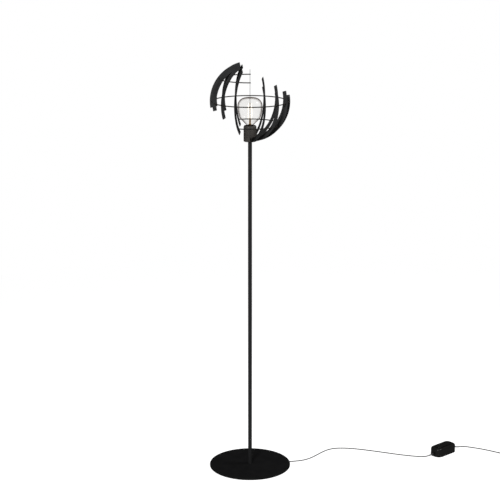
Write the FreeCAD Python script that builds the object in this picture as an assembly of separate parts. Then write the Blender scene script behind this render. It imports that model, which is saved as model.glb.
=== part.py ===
import FreeCAD, Part
import math
import os

# Floor lamp: a globe-shaped cage of flat steel strips pierced by wire rings, on a slim pole over
# a round foot plate, with a clear globe bulb, a foot switch on its cord, and a mains plug.
# The origin is the centre of the underside of the foot, +Z is up, and -Y faces the viewer.
# The switch lies on the floor to the +X side. Lengths are millimetres and angles are degrees.

os.makedirs("parts", exist_ok=True)
V = FreeCAD.Vector
UP = V(0, 0, 1)
FLOOR = V(0, 0, 0)

# ---------------------------------------------------------------- driving dimensions
# Foot plate, its pad and the groove that lets the cord out
BASE_R = 157.0
PLATE_T = 6.0
PLATE_EDGE_R = 0.8
PAD_T = 1.0
PAD_INSET = 4.0
PAD_HOLE_R = 10.0
GROOVE_DEPTH = 3.4
GROOVE_CLEAR = 0.3
GROOVE_AZIMUTH = 10.2

# Pole and its two threaded inserts
POLE_R = 7.5
POLE_WALL = 1.2
POLE_LENGTH = 1280.0
INSERT_CLEAR = 0.05
INSERT_LENGTH = 28.0
FOOT_THREAD_R = 6.0
CABLE_BORE_R = 3.4

# Hollow threaded rod at the top of the pole, with its washer and nut
ROD_R = 5.0
ROD_ENGAGE = 18.0
THREAD_CLEAR = 0.05
WASHER_R = 9.0
WASHER_T = 1.0
NUT_FLATS = 14.0
NUT_T = 4.0
ROD_ABOVE_NUT = 5.5

# Cage: flat strips standing in planes through the axis
CAGE_R = 148.6
STRIP_WIDTH = 15.0
STRIP_T = 1.5
STRIP_STEP = 22.5
STRIP_CORNER_R = 1.5
# Latitudes of the strip ends, from the +X side round to the -X side, one per step.
# The first five strips run down into the hub and have no free lower end.
STRIP_TOPS = (9.8, 12.3, 18.6, 30.4, 45.0, 59.4, 68.1, 73.7, 73.5)
STRIP_FREE_FEET = (-48.0, -20.6, -11.0, -9.4)
WIRE_R = 2.0
WIRE_HOLE_CLEAR = 0.1
WIRE_OVERRUN = 2.0
RING_INSET = 6.5
SIDE_RING_LATITUDE = 36.6
UPPER_RING_REACH = 90.0
LOWER_RING_REACH = 112.5

# Hub: a turned cup with a slot for each strip that reaches it
HUB_R = 24.0
HUB_WALL = 5.5
HUB_FLOOR = 4.0
HUB_H = 21.0
HUB_LIP = 5.0
HUB_EDGE_R = 1.5
HUB_BELOW_CAGE = 0.7
SLOT_DEPTH = 3.0
SLOT_CLEAR = 0.05
SLOT_END_CLEAR = 0.2

# Socket cup and lampholder
CUP_WALL = 1.5
CUP_TOP = 60.0
CUP_SHOULDER_R = 6.0
CUP_MOUTH_R = 17.5
SEAT_CLEAR = 0.3
HOLDER_BASE_R = 15.0
HOLDER_BASE_TOP = 20.5
HOLDER_CAVITY_R = 12.0
HOLDER_R = 17.0
HOLDER_TOP = 56.0
HOLDER_FLOOR = 7.5
SHELL_WALL = 0.5
SHELL_FOOT = 4.0
SHELL_TOP = 54.0
TERMINAL = (5.0, 7.0, 5.0)
TERMINAL_OFFSET = 7.5
TERMINAL_SCREW_R = 1.5
CONTACT_R = 3.0
CONTACT_H = 2.1

# Bulb: heights are from its own origin, which meets the cage's centre once it is screwed in
BULB_R = 46.0
BULB_WAIST = -15.5
BULB_SHOULDER_R = 30.0
BULB_CROWN_R = 150.0
BULB_SIDE_R = 135.0
BULB_LOWER_R = 12.0
BULB_NECK_R = 12.6
BULB_NECK_FILLET = 6.0
BULB_NECK_TOP = -89.6
BULB_GLASS_T = 1.0
CAP_R = 13.15
CAP_WALL = 0.45
CAP_TOP = -91.0
CAP_BOTTOM = -113.0
CAP_LAP = 7.0
CAP_TIP = -118.0
TIP_R = 4.8
TIP_T = 1.2
STEM_FLARE_R = 9.0
STEM_R = 3.4
STEM_TOP = -64.0
STEM_ROD_R = 1.1
FILAMENT_COUNT = 4
FILAMENT_R = 0.9
FILAMENT_CIRCLE_R = 7.6
FILAMENT_BOTTOM = -60.0
FILAMENT_TOP = -8.0
LEAD_R = 0.5

# Cord and its coil
CORD_R = 2.0
CORD_LIFT = 0.1
INNER_BEND_R = 4.0
BEND_SHARE = 0.45
COIL_X = 1050.0
COIL_Y = 117.0
COIL_INNER_R = 16.5
COIL_GAP = 0.55
COIL_START_ANGLE = -128.0
COIL_END_ANGLE = 0.0
COIL_TURNS = 6
COIL_LEAD = 30.0
TIE_T = 0.6
TIE_WIDTH = 8.0
TIE_ANGLE = 62.0
TIE_CLEAR = 0.2

# Foot switch, in its own frame: X along it, Z up
SWITCH_X = 771.9
SWITCH_Y = 123.8
SWITCH_TURN = 42.3
SWITCH_L = 110.0
SWITCH_W = 54.5
SWITCH_CORNER_R = 21.0
SWITCH_H = 34.8
SWITCH_SPLIT = 12.0
SWITCH_WALL = 2.0
SWITCH_TOP_R = 9.0
BUTTON_L = 78.0
BUTTON_W = 30.0
BUTTON_CORNER_R = 12.0
BUTTON_RISE = 2.5
BUTTON_EDGE_R = 1.8
BUTTON_WALL = 1.8
BUTTON_FLANGE = 1.2
BUTTON_FLANGE_T = 2.5
BUTTON_CLEAR = 0.3
BUTTON_TRAVEL = 2.4
BOSS_X = 37.0
BOSS_Y = 20.6
BOSS_R = 3.1
BOSS_BELOW_CEILING = 0.8
SCREW_R = 1.4
SCREW_HEAD_R = 2.3
SCREW_HEAD_T = 2.0
SCREW_LENGTH = 18.0
SCREW_SINK = 0.3
BLOCK = (24.0, 14.0, 14.0)
PLUNGER_R = 3.0
PLUNGER_SEAT = 3.5
STEM_DROP = 5.0
GROMMET_R = 3.1
GROMMET_COLLAR_R = 4.2
GROMMET_OUT = 3.0
GROMMET_IN = 4.0
CORD_IN_GROMMET = 0.05

# Mains plug, in its own frame: X out of the cord, Z up
PLUG_W = 35.3
PLUG_T = 13.7
PLUG_L = 36.0
PLUG_STRAIGHT = 13.0
PLUG_NECK_W = 13.0
PLUG_EDGE_R = 2.5
RELIEF_L = 24.0
RELIEF_R = 5.0
RELIEF_TIP_R = 3.1
PIN_R = 2.0
PIN_L = 19.0
PIN_SHANK_R = 1.5
PIN_SINK = 8.0
PIN_SPACING = 18.6

# ---------------------------------------------------------------- levels worked out from them
PLATE_TOP = PAD_T + PLATE_T
GROOVE_W = 2 * (CORD_R + GROOVE_CLEAR)
GROOVE_TOP = PAD_T + GROOVE_DEPTH
CORD_Z = CORD_R + CORD_LIFT
HUB_Z = PLATE_TOP + POLE_LENGTH
CAGE_INNER_R = CAGE_R - STRIP_WIDTH
RING_R = CAGE_R - RING_INSET
CAGE_Z = HUB_Z + CAGE_R + HUB_BELOW_CAGE
POLE_BORE_R = POLE_R - POLE_WALL
INSERT_R = POLE_BORE_R - INSERT_CLEAR
NUT_TOP = HUB_FLOOR + WASHER_T + NUT_T
ROD_TOP = NUT_TOP + ROD_ABOVE_NUT
HOLDER_BASE_BOTTOM = NUT_TOP + SEAT_CLEAR
HOLDER_FLOOR_TOP = HOLDER_BASE_TOP + HOLDER_FLOOR
CONTACT_TOP = HOLDER_FLOOR_TOP + CONTACT_H
BULB_Z = HUB_Z + CONTACT_TOP + SEAT_CLEAR - CAP_TIP
SHELL_R = CAP_R + SEAT_CLEAR + SHELL_WALL


# ---------------------------------------------------------------- helpers
def save(node, shape):
    shape.exportStep("parts/" + node + ".step")


def polar(radius, azimuth, z=0.0):
    angle = math.radians(azimuth)
    return V(radius * math.cos(angle), radius * math.sin(angle), z)


def cylinder(radius, z0, z1, x=0.0, y=0.0):
    return Part.makeCylinder(radius, z1 - z0, V(x, y, z0), UP)


def tube(outer_r, inner_r, z0, z1):
    return cylinder(outer_r, z0, z1).cut(cylinder(inner_r, z0, z1))


def box(x0, x1, y0, y1, z0, z1):
    return Part.makeBox(x1 - x0, y1 - y0, z1 - z0, V(x0, y0, z0))


def arc(centre, radius, start, end):
    """An arc in the XZ plane, between two angles measured from +X towards +Z."""
    points = []
    for angle in (start, (start + end) / 2, end):
        turn = math.radians(angle)
        points.append(centre + V(radius * math.cos(turn), 0, radius * math.sin(turn)))
    return Part.Arc(*points).toShape()


def segment(start, end):
    return Part.LineSegment(start, end).toShape()


def outline(points):
    return Part.Wire(Part.makePolygon(points + points[:1]))


def revolved(wire, angle=360.0):
    return Part.Face(wire).revolve(FLOOR, UP, angle)


def lathe(profile):
    """A solid turned about Z from (radius, height) pairs."""
    return revolved(outline([V(r, 0, z) for r, z in profile]))


def edges_at(shape, level):
    """The edges that lie flat at one height."""
    flat = []
    for edge in shape.Edges:
        limits = edge.BoundBox
        if abs(limits.ZMin - level) < 1e-4 and abs(limits.ZMax - level) < 1e-4:
            flat.append(edge)
    return flat


def rounded_prism(length, width, corner, z0, z1):
    """A rectangle with round corners, centred on the Z axis and raised from z0 to z1."""
    block = box(-length / 2, length / 2, -width / 2, width / 2, z0, z1)
    uprights = [edge for edge in block.Edges if edge.BoundBox.ZLength > (z1 - z0) / 2]
    return block.makeFillet(corner, uprights)


def hexagon(flats, z0, z1):
    corner = flats / math.sqrt(3)
    ring = [polar(corner, 60 * k, z0) for k in range(6)]
    return Part.Face(outline(ring)).extrude(V(0, 0, z1 - z0))


def lifted(shape, height):
    shape.translate(V(0, 0, height))
    return shape


def placed(shape, x, y, turn):
    shape.rotate(FLOOR, UP, turn)
    shape.translate(V(x, y, 0))
    return shape


# ---------------------------------------------------------------- foot
def groove_cutter(height):
    """The way out for the cord, from the axis past the rim."""
    way = box(0, BASE_R + PAD_INSET, -GROOVE_W / 2, GROOVE_W / 2, 0, height)
    return placed(way, 0, 0, GROOVE_AZIMUTH)


def base_plate():
    plate = cylinder(BASE_R, PAD_T, PLATE_TOP)
    plate = plate.makeFillet(PLATE_EDGE_R, edges_at(plate, PLATE_TOP) + edges_at(plate, PAD_T))
    plate = plate.cut(cylinder(FOOT_THREAD_R + THREAD_CLEAR, 0, PLATE_TOP))
    return plate.cut(groove_cutter(GROOVE_TOP))


def base_pad():
    pad = tube(BASE_R - PAD_INSET, PAD_HOLE_R, 0, PAD_T)
    return pad.cut(groove_cutter(PAD_T))


def pole_foot_stub():
    """Threaded into the plate and pushed into the pole, bored for the cord and notched to let it in."""
    stub = cylinder(FOOT_THREAD_R, PAD_T, PLATE_TOP)
    stub = stub.fuse(cylinder(INSERT_R, PLATE_TOP, PLATE_TOP + INSERT_LENGTH))
    stub = stub.cut(cylinder(CABLE_BORE_R, 0, PLATE_TOP + INSERT_LENGTH))
    return stub.cut(groove_cutter(GROOVE_TOP)).removeSplitter()


# ---------------------------------------------------------------- pole
def pole_tube():
    return tube(POLE_R, POLE_BORE_R, PLATE_TOP, HUB_Z)


def pole_top_insert():
    insert = tube(INSERT_R, CABLE_BORE_R, HUB_Z - INSERT_LENGTH, HUB_Z)
    return insert.cut(cylinder(ROD_R + THREAD_CLEAR, HUB_Z - ROD_ENGAGE, HUB_Z))


def threaded_rod():
    return lifted(tube(ROD_R, CABLE_BORE_R, -ROD_ENGAGE, ROD_TOP), HUB_Z)


def hub_washer():
    return lifted(tube(WASHER_R, ROD_R + THREAD_CLEAR, HUB_FLOOR, HUB_FLOOR + WASHER_T), HUB_Z)


def hub_nut():
    nut = hexagon(NUT_FLATS, HUB_FLOOR + WASHER_T, NUT_TOP)
    return lifted(nut.cut(cylinder(ROD_R + THREAD_CLEAR, HUB_FLOOR, NUT_TOP)), HUB_Z)


# ---------------------------------------------------------------- cage
def strip_height_at(radius, reach):
    """Height below the cage centre at which a circle of one radius meets the distance reach."""
    return math.sqrt(radius ** 2 - reach ** 2)


def strip_foot_reach():
    return HUB_R - SLOT_DEPTH + SLOT_END_CLEAR


def strip_outline(top, foot):
    """One strip in the XZ plane, round the cage centre. A foot of None runs down into the hub."""
    reach = strip_foot_reach()
    if foot is None:
        outer_foot = -math.degrees(math.acos(reach / CAGE_R))
        inner_foot = -math.degrees(math.acos(reach / CAGE_INNER_R))
    else:
        outer_foot = foot
        inner_foot = foot
    outer = arc(FLOOR, CAGE_R, outer_foot, top)
    inner = arc(FLOOR, CAGE_INNER_R, top, inner_foot)
    head = segment(outer.valueAt(outer.LastParameter), inner.valueAt(inner.FirstParameter))
    heel = segment(inner.valueAt(inner.LastParameter), outer.valueAt(outer.FirstParameter))
    return Part.Wire([outer, head, inner, heel])


def is_free_end(edge, foot):
    """True for the short edges across the strip where it ends in the air."""
    middle = edge.BoundBox.Center
    radius = math.hypot(middle.x, middle.z)
    crosses = edge.BoundBox.YLength > STRIP_T / 2 and edge.BoundBox.DiagonalLength < STRIP_T * 1.01
    at_rim = abs(radius - CAGE_R) < 0.1 or abs(radius - CAGE_INNER_R) < 0.1
    in_hub = foot is None and middle.x < HUB_R and middle.z < 0
    return crosses and at_rim and not in_hub


def cage_strip(azimuth, top, foot):
    strip = Part.Face(strip_outline(top, foot)).extrude(V(0, STRIP_T, 0))
    strip.translate(V(0, -STRIP_T / 2, 0))
    ends = [edge for edge in strip.Edges if is_free_end(edge, foot)]
    strip = strip.makeFillet(STRIP_CORNER_R, ends)
    for latitude in ring_latitudes(azimuth):
        hole_at = V(RING_R * math.cos(math.radians(latitude)), -STRIP_T, 0)
        hole_at.z = RING_R * math.sin(math.radians(latitude))
        hole = Part.makeCylinder(WIRE_R + WIRE_HOLE_CLEAR, 2 * STRIP_T, hole_at, V(0, 1, 0))
        strip = strip.cut(hole)
    strip.rotate(FLOOR, UP, azimuth)
    return lifted(strip, CAGE_Z)


def ring_latitudes(azimuth):
    """The rings that pierce a strip, named by their latitudes."""
    from_right = min(azimuth, 360 - azimuth)
    latitudes = [0.0]
    if from_right >= UPPER_RING_REACH:
        latitudes.append(SIDE_RING_LATITUDE)
    if from_right <= LOWER_RING_REACH:
        latitudes.append(-SIDE_RING_LATITUDE)
    return latitudes


def strip_count():
    return round(360 / STRIP_STEP)


def strip_ends(azimuth):
    """Top and foot latitudes of the strip at one azimuth. Both sides of the cage are alike."""
    place = round(min(azimuth, 360 - azimuth) / STRIP_STEP)
    with_foot_in_hub = len(STRIP_TOPS) - len(STRIP_FREE_FEET)
    foot = None if place < with_foot_in_hub else STRIP_FREE_FEET[place - with_foot_in_hub]
    return STRIP_TOPS[place], foot


def cage_ring(latitude, start, sweep):
    """A wire bent to a circle of latitude, from one azimuth through a sweep."""
    radius = RING_R * math.cos(math.radians(latitude))
    height = CAGE_Z + RING_R * math.sin(math.radians(latitude))
    section = Part.Wire(Part.Circle(V(radius, 0, height), V(0, 1, 0), WIRE_R).toShape())
    ring = revolved(section, sweep)
    ring.rotate(FLOOR, UP, start)
    return ring


def part_ring(latitude, middle, reach):
    """A ring that stops just past the strips at equal reach on both sides of its middle."""
    radius = RING_R * math.cos(math.radians(latitude))
    spare = math.degrees((STRIP_T / 2 + WIRE_OVERRUN) / radius)
    return cage_ring(latitude, middle - reach - spare, 2 * (reach + spare))


def cage_hub():
    bore = HUB_R - HUB_WALL
    lip_r = HUB_R - CUP_WALL - INSERT_CLEAR
    profile = [(ROD_R + THREAD_CLEAR, 0), (HUB_R, 0), (HUB_R, HUB_H), (lip_r, HUB_H)]
    profile += [(lip_r, HUB_H + HUB_LIP), (bore, HUB_H + HUB_LIP), (bore, HUB_FLOOR)]
    profile += [(ROD_R + THREAD_CLEAR, HUB_FLOOR)]
    hub = lathe(profile)
    rim = [edge for edge in edges_at(hub, 0) if edge.BoundBox.XLength > HUB_R]
    hub = hub.makeFillet(HUB_EDGE_R, rim)
    centre = CAGE_Z - HUB_Z
    slot_bottom = centre - strip_height_at(CAGE_R, strip_foot_reach()) - SLOT_END_CLEAR
    slot_top = centre - strip_height_at(CAGE_INNER_R, HUB_R) + SLOT_END_CLEAR
    half = STRIP_T / 2 + SLOT_CLEAR
    for k in range(strip_count()):
        azimuth = k * STRIP_STEP
        if strip_ends(azimuth)[1] is None:
            slot = box(HUB_R - SLOT_DEPTH, HUB_R + 1, -half, half, slot_bottom, slot_top)
            hub = hub.cut(placed(slot, 0, 0, azimuth))
    return lifted(hub, HUB_Z)


# ---------------------------------------------------------------- lampholder
def socket_cup():
    """A spun cup on the hub's lip, rounded over to its mouth."""
    outer_r = HUB_R
    inner_r = HUB_R - CUP_WALL
    shoulder = V(outer_r - CUP_SHOULDER_R, 0, CUP_TOP - CUP_SHOULDER_R)
    under = CUP_TOP - CUP_WALL
    edges = [segment(V(inner_r, 0, HUB_H), V(outer_r, 0, HUB_H))]
    edges.append(segment(V(outer_r, 0, HUB_H), V(outer_r, 0, shoulder.z)))
    edges.append(arc(shoulder, CUP_SHOULDER_R, 0, 90))
    edges.append(segment(V(shoulder.x, 0, CUP_TOP), V(CUP_MOUTH_R, 0, CUP_TOP)))
    edges.append(segment(V(CUP_MOUTH_R, 0, CUP_TOP), V(CUP_MOUTH_R, 0, under)))
    edges.append(segment(V(CUP_MOUTH_R, 0, under), V(shoulder.x, 0, under)))
    edges.append(arc(shoulder, CUP_SHOULDER_R - CUP_WALL, 90, 0))
    edges.append(segment(V(inner_r, 0, shoulder.z), V(inner_r, 0, HUB_H)))
    return lifted(revolved(Part.Wire(edges)), HUB_Z)


def holder_base():
    entry = ROD_R + THREAD_CLEAR
    profile = [(entry, HOLDER_BASE_BOTTOM), (HOLDER_BASE_R, HOLDER_BASE_BOTTOM)]
    profile += [(HOLDER_BASE_R, HOLDER_BASE_TOP), (HOLDER_CAVITY_R, HOLDER_BASE_TOP)]
    profile += [(HOLDER_CAVITY_R, ROD_TOP), (entry, ROD_TOP)]
    return lifted(lathe(profile), HUB_Z)


def holder_body():
    body = cylinder(HOLDER_R, HOLDER_BASE_TOP, HOLDER_TOP)
    body = body.cut(cylinder(SHELL_R + THREAD_CLEAR, HOLDER_FLOOR_TOP, HOLDER_TOP))
    return lifted(body, HUB_Z)


def holder_shell():
    """The screw shell, with a flange under it that stands on the holder's floor."""
    shell = tube(SHELL_R, SHELL_R - SHELL_WALL, HOLDER_FLOOR_TOP, SHELL_TOP)
    foot = tube(SHELL_R, SHELL_R - SHELL_FOOT, HOLDER_FLOOR_TOP, HOLDER_FLOOR_TOP + SHELL_WALL)
    return lifted(shell.fuse(foot).removeSplitter(), HUB_Z)


def holder_contact():
    """The centre contact, a domed leaf that the bulb's tip presses on."""
    edge_top = HOLDER_FLOOR_TOP + SHELL_WALL
    profile = [(0, HOLDER_FLOOR_TOP), (CONTACT_R, HOLDER_FLOOR_TOP), (CONTACT_R, edge_top)]
    profile += [(CONTACT_R / 2, CONTACT_TOP), (0, CONTACT_TOP)]
    return lifted(lathe(profile), HUB_Z)


def holder_terminals():
    """Two brass terminals under the holder's floor, each with its screw."""
    length, width, height = TERMINAL
    top = HOLDER_BASE_TOP
    pieces = []
    for side in (-1, 1):
        x = side * TERMINAL_OFFSET
        block = box(x - length / 2, x + length / 2, -width / 2, width / 2, top - height, top)
        bore = Part.makeCylinder(TERMINAL_SCREW_R, width, V(x, -width / 2, top - height / 2), V(0, 1, 0))
        pieces.append(block.cut(bore))
    return lifted(Part.makeCompound(pieces), HUB_Z)


# ---------------------------------------------------------------- bulb
def bulb_envelope(wall):
    """The bulb's round envelope as a solid, drawn in from the outer surface by a wall."""
    axis_side = V(BULB_R - BULB_SHOULDER_R, 0, BULB_WAIST)
    shoulder_r = BULB_SHOULDER_R - wall
    crown_gap = BULB_CROWN_R - BULB_SHOULDER_R
    crown = V(0, 0, axis_side.z - math.sqrt(crown_gap ** 2 - axis_side.x ** 2))
    crown_turn = math.degrees(math.asin(axis_side.x / crown_gap))
    side = V(BULB_R - BULB_SIDE_R, 0, BULB_WAIST)
    # The cone below runs at 45 degrees from the neck: on it, radius minus height is constant.
    half_root = math.sqrt(0.5)
    neck_centre = V(BULB_NECK_R + BULB_NECK_FILLET, 0, BULB_NECK_TOP)
    cone = neck_centre.x - neck_centre.z - BULB_NECK_FILLET / half_root
    # The lower shoulder touches the side arc and the cone.
    lower_line = cone - BULB_LOWER_R / half_root
    reach = BULB_SIDE_R - BULB_LOWER_R
    middle = (lower_line + side.x + side.z) / 2
    spread = (lower_line + side.z - side.x) / 2
    lower_x = middle + math.sqrt(reach ** 2 / 2 - spread ** 2)
    lower = V(lower_x, 0, lower_x - lower_line)
    side_end = math.degrees(math.atan2(lower.z - side.z, lower.x - side.x))
    pieces = [arc(crown, BULB_CROWN_R - wall, 90, 90 - crown_turn)]
    pieces.append(arc(axis_side, shoulder_r, 90 - crown_turn, 0))
    pieces.append(arc(side, BULB_SIDE_R - wall, 0, side_end))
    pieces.append(arc(lower, BULB_LOWER_R - wall, side_end, -45))
    neck_arc = arc(neck_centre, BULB_NECK_FILLET + wall, 135, 180)
    pieces.append(segment(pieces[-1].valueAt(pieces[-1].LastParameter), neck_arc.valueAt(neck_arc.FirstParameter)))
    pieces.append(neck_arc)
    neck_r = BULB_NECK_R - wall
    foot = CAP_TOP - CAP_LAP
    pieces.append(segment(V(neck_r, 0, BULB_NECK_TOP), V(neck_r, 0, foot)))
    pieces.append(segment(V(neck_r, 0, foot), V(0, 0, foot)))
    pieces.append(segment(V(0, 0, foot), V(0, 0, crown.z + BULB_CROWN_R - wall)))
    return revolved(Part.Wire(pieces))


def bulb_glass():
    return lifted(bulb_envelope(0).cut(bulb_envelope(BULB_GLASS_T)), BULB_Z)


def bulb_cap():
    inner_r = CAP_R - CAP_WALL
    profile = [(inner_r, CAP_TOP), (CAP_R, CAP_TOP), (CAP_R, CAP_BOTTOM + 1)]
    profile += [(CAP_R - 1, CAP_BOTTOM), (CAP_R - 1 - CAP_WALL, CAP_BOTTOM)]
    profile += [(inner_r, CAP_BOTTOM + 1 + CAP_WALL)]
    return lifted(lathe(profile), BULB_Z)


def bulb_cap_insulator():
    rim_r = CAP_R - 1 - CAP_WALL
    tip_top = CAP_TIP + TIP_T
    profile = [(0, CAP_BOTTOM), (rim_r, CAP_BOTTOM), (TIP_R + 1, tip_top), (0, tip_top)]
    return lifted(lathe(profile), BULB_Z)


def bulb_tip_contact():
    tip_top = CAP_TIP + TIP_T
    profile = [(0, CAP_TIP), (TIP_R / 2, CAP_TIP), (TIP_R, tip_top), (0, tip_top)]
    return lifted(lathe(profile), BULB_Z)


def bulb_stem():
    """The glass foot inside the neck, with the thin rod that rises between the filaments."""
    foot = CAP_TOP - CAP_LAP
    flare_r = BULB_NECK_R - BULB_GLASS_T
    profile = [(0, foot), (flare_r, foot), (flare_r, foot + 1), (STEM_FLARE_R, foot + 2)]
    profile += [(STEM_R, foot + 2 * STEM_FLARE_R), (STEM_R, STEM_TOP), (STEM_ROD_R, STEM_TOP + 2)]
    profile += [(STEM_ROD_R, FILAMENT_TOP), (0, FILAMENT_TOP)]
    return lifted(lathe(profile), BULB_Z)


def filament_azimuths():
    return [360 / FILAMENT_COUNT * (k + 0.5) for k in range(FILAMENT_COUNT)]


def bulb_filaments():
    rods = []
    for azimuth in filament_azimuths():
        at = polar(FILAMENT_CIRCLE_R, azimuth)
        rods.append(cylinder(FILAMENT_R, FILAMENT_BOTTOM, FILAMENT_TOP, at.x, at.y))
    return lifted(Part.makeCompound(rods), BULB_Z)


def spokes(height, inner_r):
    """Wires that run out from the stem over the filaments' ends."""
    star = None
    for azimuth in filament_azimuths():
        start = polar(inner_r, azimuth, height)
        length = FILAMENT_CIRCLE_R + FILAMENT_R - inner_r
        wire = Part.makeCylinder(LEAD_R, length, start, polar(1, azimuth))
        star = wire if star is None else star.fuse(wire)
    return star


def bulb_wires():
    """The crossed wires at the head of the rod, and the leads from the stem to the filaments' feet."""
    head = cylinder(STEM_ROD_R, FILAMENT_TOP, FILAMENT_TOP + 2 * LEAD_R)
    head = head.fuse(spokes(FILAMENT_TOP + LEAD_R, 0))
    pieces = [head]
    for azimuth in filament_azimuths():
        start = polar(STEM_R + LEAD_R, azimuth, STEM_TOP - STEM_R)
        end = polar(FILAMENT_CIRCLE_R, azimuth, FILAMENT_BOTTOM)
        way = end - start
        length = way.Length - 2 * LEAD_R
        pieces.append(Part.makeCylinder(LEAD_R, length, start + way.normalize() * LEAD_R, way))
    return lifted(Part.makeCompound(pieces), BULB_Z)


# ---------------------------------------------------------------- cords
def cord_path(name, points):
    """Straight runs joined by tangent arcs, each as large as its two runs allow."""
    edges = []
    radii = []
    last = points[0]
    for before, corner, after in zip(points, points[1:], points[2:]):
        way_in = corner - before
        way_out = after - corner
        turn = way_in.getAngle(way_out)
        setback = BEND_SHARE * min(way_in.Length, way_out.Length)
        radii.append(setback / math.tan(turn / 2))
        start = corner - way_in.normalize() * setback
        end = corner + way_out.normalize() * setback
        bisector = ((start + end) * 0.5 - corner).normalize()
        middle = corner + bisector * (radii[-1] / math.cos(turn / 2) - radii[-1])
        edges.append(segment(last, start))
        edges.append(Part.Arc(start, middle, end).toShape())
        last = end
    edges.append(segment(last, points[-1]))
    print(name, "smallest bend radius", round(min(radii), 1))
    return Part.Wire(edges)


def cord_tube(name, path):
    first = path.Edges[0]
    start = first.valueAt(first.FirstParameter)
    heading = first.tangentAt(first.FirstParameter)
    section = Part.Wire(Part.Circle(start, heading, CORD_R).toShape())
    solid = path.makePipeShell([section], True, False)
    share = solid.Volume / (math.pi * CORD_R ** 2 * path.Length)
    print(name, "length", round(path.Length, 1), "volume over section times length", round(share, 4))
    return solid


def cord_inner():
    """From the rim along the groove, up through the pole and into the lampholder."""
    rim = polar(BASE_R, GROOVE_AZIMUTH, CORD_Z)
    turn_start = polar(INNER_BEND_R, GROOVE_AZIMUTH, CORD_Z)
    turn_end = V(0, 0, CORD_Z + INNER_BEND_R)
    bulge = polar(INNER_BEND_R * (1 - math.sqrt(0.5)), GROOVE_AZIMUTH, CORD_Z + INNER_BEND_R * (1 - math.sqrt(0.5)))
    edges = [segment(rim, turn_start), Part.Arc(turn_start, bulge, turn_end).toShape()]
    edges.append(segment(turn_end, V(0, 0, HUB_Z + ROD_TOP + 1)))
    return cord_tube("cord_inner", Part.Wire(edges))


def switch_point(x, z):
    """A point on the switch's long axis, moved from the switch's own frame to the lamp's."""
    return V(SWITCH_X, SWITCH_Y, z) + polar(x, SWITCH_TURN)


def cord_to_switch():
    """Out of the foot, in a loose wave along the floor, and up into the near end of the switch."""
    points = [polar(BASE_R, GROOVE_AZIMUTH, CORD_Z), polar(BASE_R + 30, GROOVE_AZIMUTH, CORD_Z)]
    floor_points = [(214, 43.5), (243, 67.5), (266, 96.8), (291, 131), (318, 158), (348, 169.3), (380, 170)]
    floor_points += [(414, 165), (450, 154.5), (490, 140.8), (530, 125.4), (572, 109.2), (612, 95)]
    floor_points += [(648, 84.8), (670, 80.6), (687, 78.9)]
    points += [V(x, y, CORD_Z) for x, y in floor_points]
    points += [V(702, 77.3, 4.6), V(714.5, 77.8, 8.8)]
    points += [switch_point(-SWITCH_L / 2 - 7, SWITCH_SPLIT), switch_point(-SWITCH_L / 2 + GROMMET_IN, SWITCH_SPLIT)]
    return cord_tube("cord_to_switch", cord_path("cord_to_switch", points))


def far_route():
    """Out of the far end of the switch, down to the floor, and on to where the coil begins."""
    points = [switch_point(SWITCH_L / 2 - GROMMET_IN, SWITCH_SPLIT), switch_point(SWITCH_L / 2 + 6, SWITCH_SPLIT)]
    points += [V(826.5, 170.8, 8.2), V(836.5, 178.3, 4.4)]
    floor_points = [(849, 186), (863, 188.2), (879, 183.6), (902, 174.5), (932, 160.2), (962, 143), (984, 127.9)]
    points += [V(x, y, CORD_Z) for x, y in floor_points]
    start, heading = coil_end(0)
    points += [start - heading * COIL_LEAD, start]
    return points


def coil_level(layer):
    """Height of the cord's middle in a layer of the coil, which lies on its tie."""
    return TIE_T + TIE_CLEAR + CORD_R + layer * coil_pitch()


def coil_pitch():
    return 2 * CORD_R + COIL_GAP


def coil_sweep():
    """Whole turn of the coil in degrees, from its first tangent to its last."""
    return COIL_TURNS * 360 + COIL_END_ANGLE - COIL_START_ANGLE


def coil_outer_r():
    return COIL_INNER_R + coil_pitch() * coil_sweep() / 720


def coil_point(turned):
    """A point of the coil: in along the lower layer, out along the upper one, with a climb between."""
    half = coil_sweep() / 2
    radius = COIL_INNER_R + coil_pitch() * abs(turned - half) / 360
    if abs(turned - half) < 90:
        # The spiral reverses inside the climb, so its corner is rounded there.
        radius = COIL_INNER_R + coil_pitch() * ((turned - half) ** 2 / 180 + 45) / 360
    climb = min(max((turned - half + 90) / 180, 0), 1)
    level = coil_level((1 - math.cos(math.pi * climb)) / 2)
    return V(COIL_X, COIL_Y, 0) + polar(radius, COIL_START_ANGLE + turned, level)


def coil_heading(turned):
    tiny = 0.01
    return (coil_point(turned + tiny) - coil_point(turned - tiny)).normalize()


def coil_end(turned):
    """The face of the coil's straight end, one diameter before or after its turns, and its heading."""
    heading = coil_heading(turned)
    side = -1 if turned == 0 else 1
    return coil_point(turned) + heading * side * 2 * CORD_R, heading


def biarc(start, heading, end, end_heading):
    """Two arcs that leave one point and reach another along given directions."""
    way = end - start
    both = heading + end_heading
    a = both.dot(both) - 4
    b = -2 * way.dot(both)
    c = way.dot(way)
    reach = (-b - math.sqrt(b * b - 4 * a * c)) / (2 * a)
    knee = start + heading * reach
    far_knee = end - end_heading * reach
    joint = (knee + far_knee) * 0.5
    edges = []
    for first, corner, last in ((start, knee, joint), (joint, far_knee, end)):
        chord_middle = (first + last) * 0.5
        half_chord = (last - first).Length / 2
        lean = math.acos(min(1.0, half_chord / (corner - first).Length))
        bulge = half_chord * math.tan(lean / 2)
        middle = chord_middle + (corner - chord_middle).normalize() * bulge
        edges.append(Part.Arc(first, middle, last).toShape())
    return edges


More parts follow.
